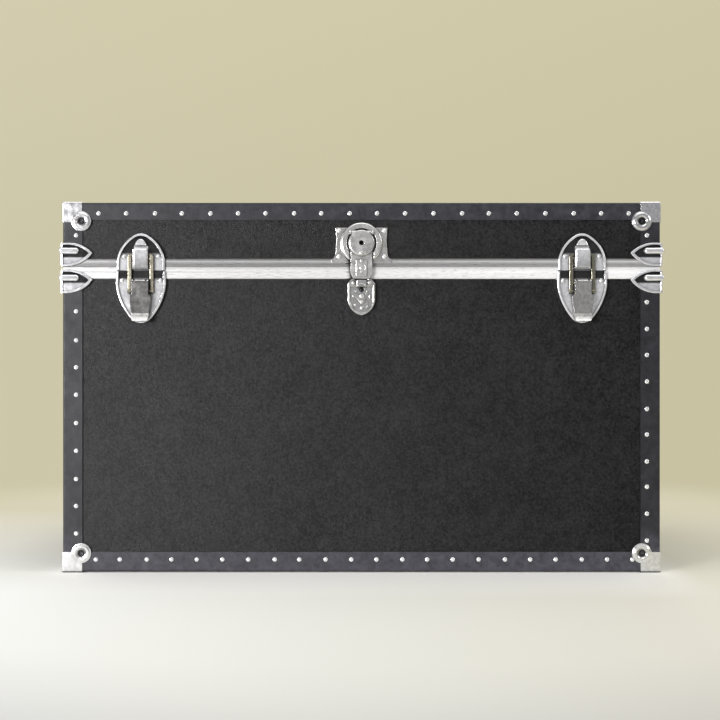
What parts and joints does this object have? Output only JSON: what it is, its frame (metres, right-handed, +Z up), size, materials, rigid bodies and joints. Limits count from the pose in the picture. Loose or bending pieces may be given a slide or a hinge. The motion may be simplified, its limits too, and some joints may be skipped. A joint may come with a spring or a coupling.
{
  "type": "vinyl-covered trunk",
  "caption": "Vinyl-covered plywood trunk with fibre edge strips, an aluminium tongue-and-groove closure, over-centre draw latches, a hasp lock, corner caps, rear hinges and drop handles.",
  "frame": {"origin": "middle of the bounding box's footprint, at floor level", "axes": "+X along the width, to the right as the front is seen; -Y out of the front, where the lock and latches are; +Z up"},
  "size_m": [0.7952, 0.4782, 0.473],
  "materials": {
    "plywood": "raw veneer",
    "vinyl": "black vinyl with a fine leather grain",
    "lining": "plain lining cloth",
    "fibre_binding": "smooth black fibre strip",
    "aluminium_band": "satin drawn aluminium",
    "plated_steel": "nickel plated pressed steel",
    "lock_metal": "nickel plated pressed steel, dulled",
    "lock_inner": "dull steel",
    "steel_pin": "bright steel wire",
    "rivet": "nickel plated",
    "grip": "moulded black plastic"
  },
  "bodies": {
    "trunk_base": {"base_back_panel": "plywood", "base_bottom_binding": "fibre_binding", "base_bottom_panel": "plywood", "base_corner_binding": "fibre_binding", "base_covering": "vinyl", "base_front_panel": "plywood", "base_hinge_leaves": "plated_steel", "base_left_panel": "plywood", "base_lining": "lining", "base_right_panel": "plywood", "base_valance": "aluminium_band", "base_valance_clamps": "plated_steel", "bottom_corner_caps": "plated_steel", "handle_rivets": "rivet", "hinge_base_rivets": "rivet", "hinge_pins": "steel_pin", "keeper_rivets": "rivet", "latch_base_rivets": "rivet", "left_handle_brackets": "plated_steel", "left_latch_base_plate": "plated_steel", "left_lever_pin": "steel_pin", "lock_keeper": "lock_metal", "right_handle_brackets": "plated_steel", "right_latch_base_plate": "plated_steel", "right_lever_pin": "steel_pin"},
    "lid": {"lid_back_panel": "plywood", "lid_corner_binding": "fibre_binding", "lid_covering": "vinyl", "lid_front_panel": "plywood", "lid_hinge_leaves": "plated_steel", "lid_left_panel": "plywood", "lid_lining": "lining", "lid_right_panel": "plywood", "lid_top_binding": "fibre_binding", "lid_top_panel": "plywood", "lid_valance": "aluminium_band", "lid_valance_clamps": "plated_steel", "top_corner_caps": "plated_steel", "left_latch_catch_plate": "plated_steel", "right_latch_catch_plate": "plated_steel", "lock_plate": "lock_metal", "hasp_pin": "steel_pin", "latch_catch_rivets": "rivet", "lock_plate_rivets": "rivet", "hinge_lid_rivets": "rivet"},
    "hasp": {"hasp_shell": "lock_metal", "hasp_back_cover": "lock_metal"},
    "key_plug": {"key_plug": "lock_inner"},
    "lock_bolt": {"lock_bolt": "lock_inner"},
    "left_lever": {"left_latch_lever": "plated_steel", "left_link_pin": "steel_pin"},
    "left_link": {"left_latch_link": "plated_steel"},
    "left_handle": {"left_handle_bar": "plated_steel", "left_handle_grip": "grip"},
    "right_lever": {"right_latch_lever": "plated_steel", "right_link_pin": "steel_pin"},
    "right_link": {"right_latch_link": "plated_steel"},
    "right_handle": {"right_handle_bar": "plated_steel", "right_handle_grip": "grip"}
  },
  "joints": [
    {"name": "lid_hinge", "type": "hinge", "parent": "trunk_base", "child": "lid", "pos_m": [0, 0.23585, 0.39], "axis": [-1, 0, 0], "range_deg": [0, 100]},
    {"name": "left_lever_hinge", "type": "hinge", "parent": "trunk_base", "child": "left_lever", "pos_m": [-0.281, -0.23065, 0.3696], "axis": [-1, 0, 0], "range_deg": [0, 105]},
    {"name": "left_link_hinge", "type": "hinge", "parent": "left_lever", "child": "left_link", "pos_m": [-0.281, -0.22855, 0.3583], "axis": [-1, 0, 0], "range_deg": [-90, 0]},
    {"name": "right_lever_hinge", "type": "hinge", "parent": "trunk_base", "child": "right_lever", "pos_m": [0.281, -0.23065, 0.3696], "axis": [-1, 0, 0], "range_deg": [0, 105]},
    {"name": "right_link_hinge", "type": "hinge", "parent": "right_lever", "child": "right_link", "pos_m": [0.281, -0.22855, 0.3583], "axis": [-1, 0, 0], "range_deg": [-90, 0]},
    {"name": "hasp_hinge", "type": "hinge", "parent": "lid", "child": "hasp", "pos_m": [0, -0.23015, 0.433], "axis": [-1, 0, 0], "range_deg": [0, 95]},
    {"name": "key_turn", "type": "hinge", "parent": "hasp", "child": "key_plug", "pos_m": [0, -0.22965, 0.4197], "axis": [0, 1, 0], "range_deg": [0, 90]},
    {"name": "bolt_slide", "type": "slide", "parent": "hasp", "child": "lock_bolt", "axis": [0, 0, -1], "range_m": [0, 0.0056]},
    {"name": "left_handle_hinge", "type": "hinge", "parent": "trunk_base", "child": "left_handle", "pos_m": [-0.39, 0.00385, 0.298], "axis": [0, 1, 0], "range_deg": [0, 90]},
    {"name": "right_handle_hinge", "type": "hinge", "parent": "trunk_base", "child": "right_handle", "pos_m": [0.39, 0.00385, 0.298], "axis": [0, -1, 0], "range_deg": [0, 90]}
  ],
  "couplings": [
    {"joint": "left_link_hinge", "follows": "left_lever_hinge", "ratio": -0.825},
    {"joint": "right_link_hinge", "follows": "right_lever_hinge", "ratio": -0.825},
    {"joint": "bolt_slide", "follows": "key_turn", "m_per_rad": 0.003183}
  ]
}
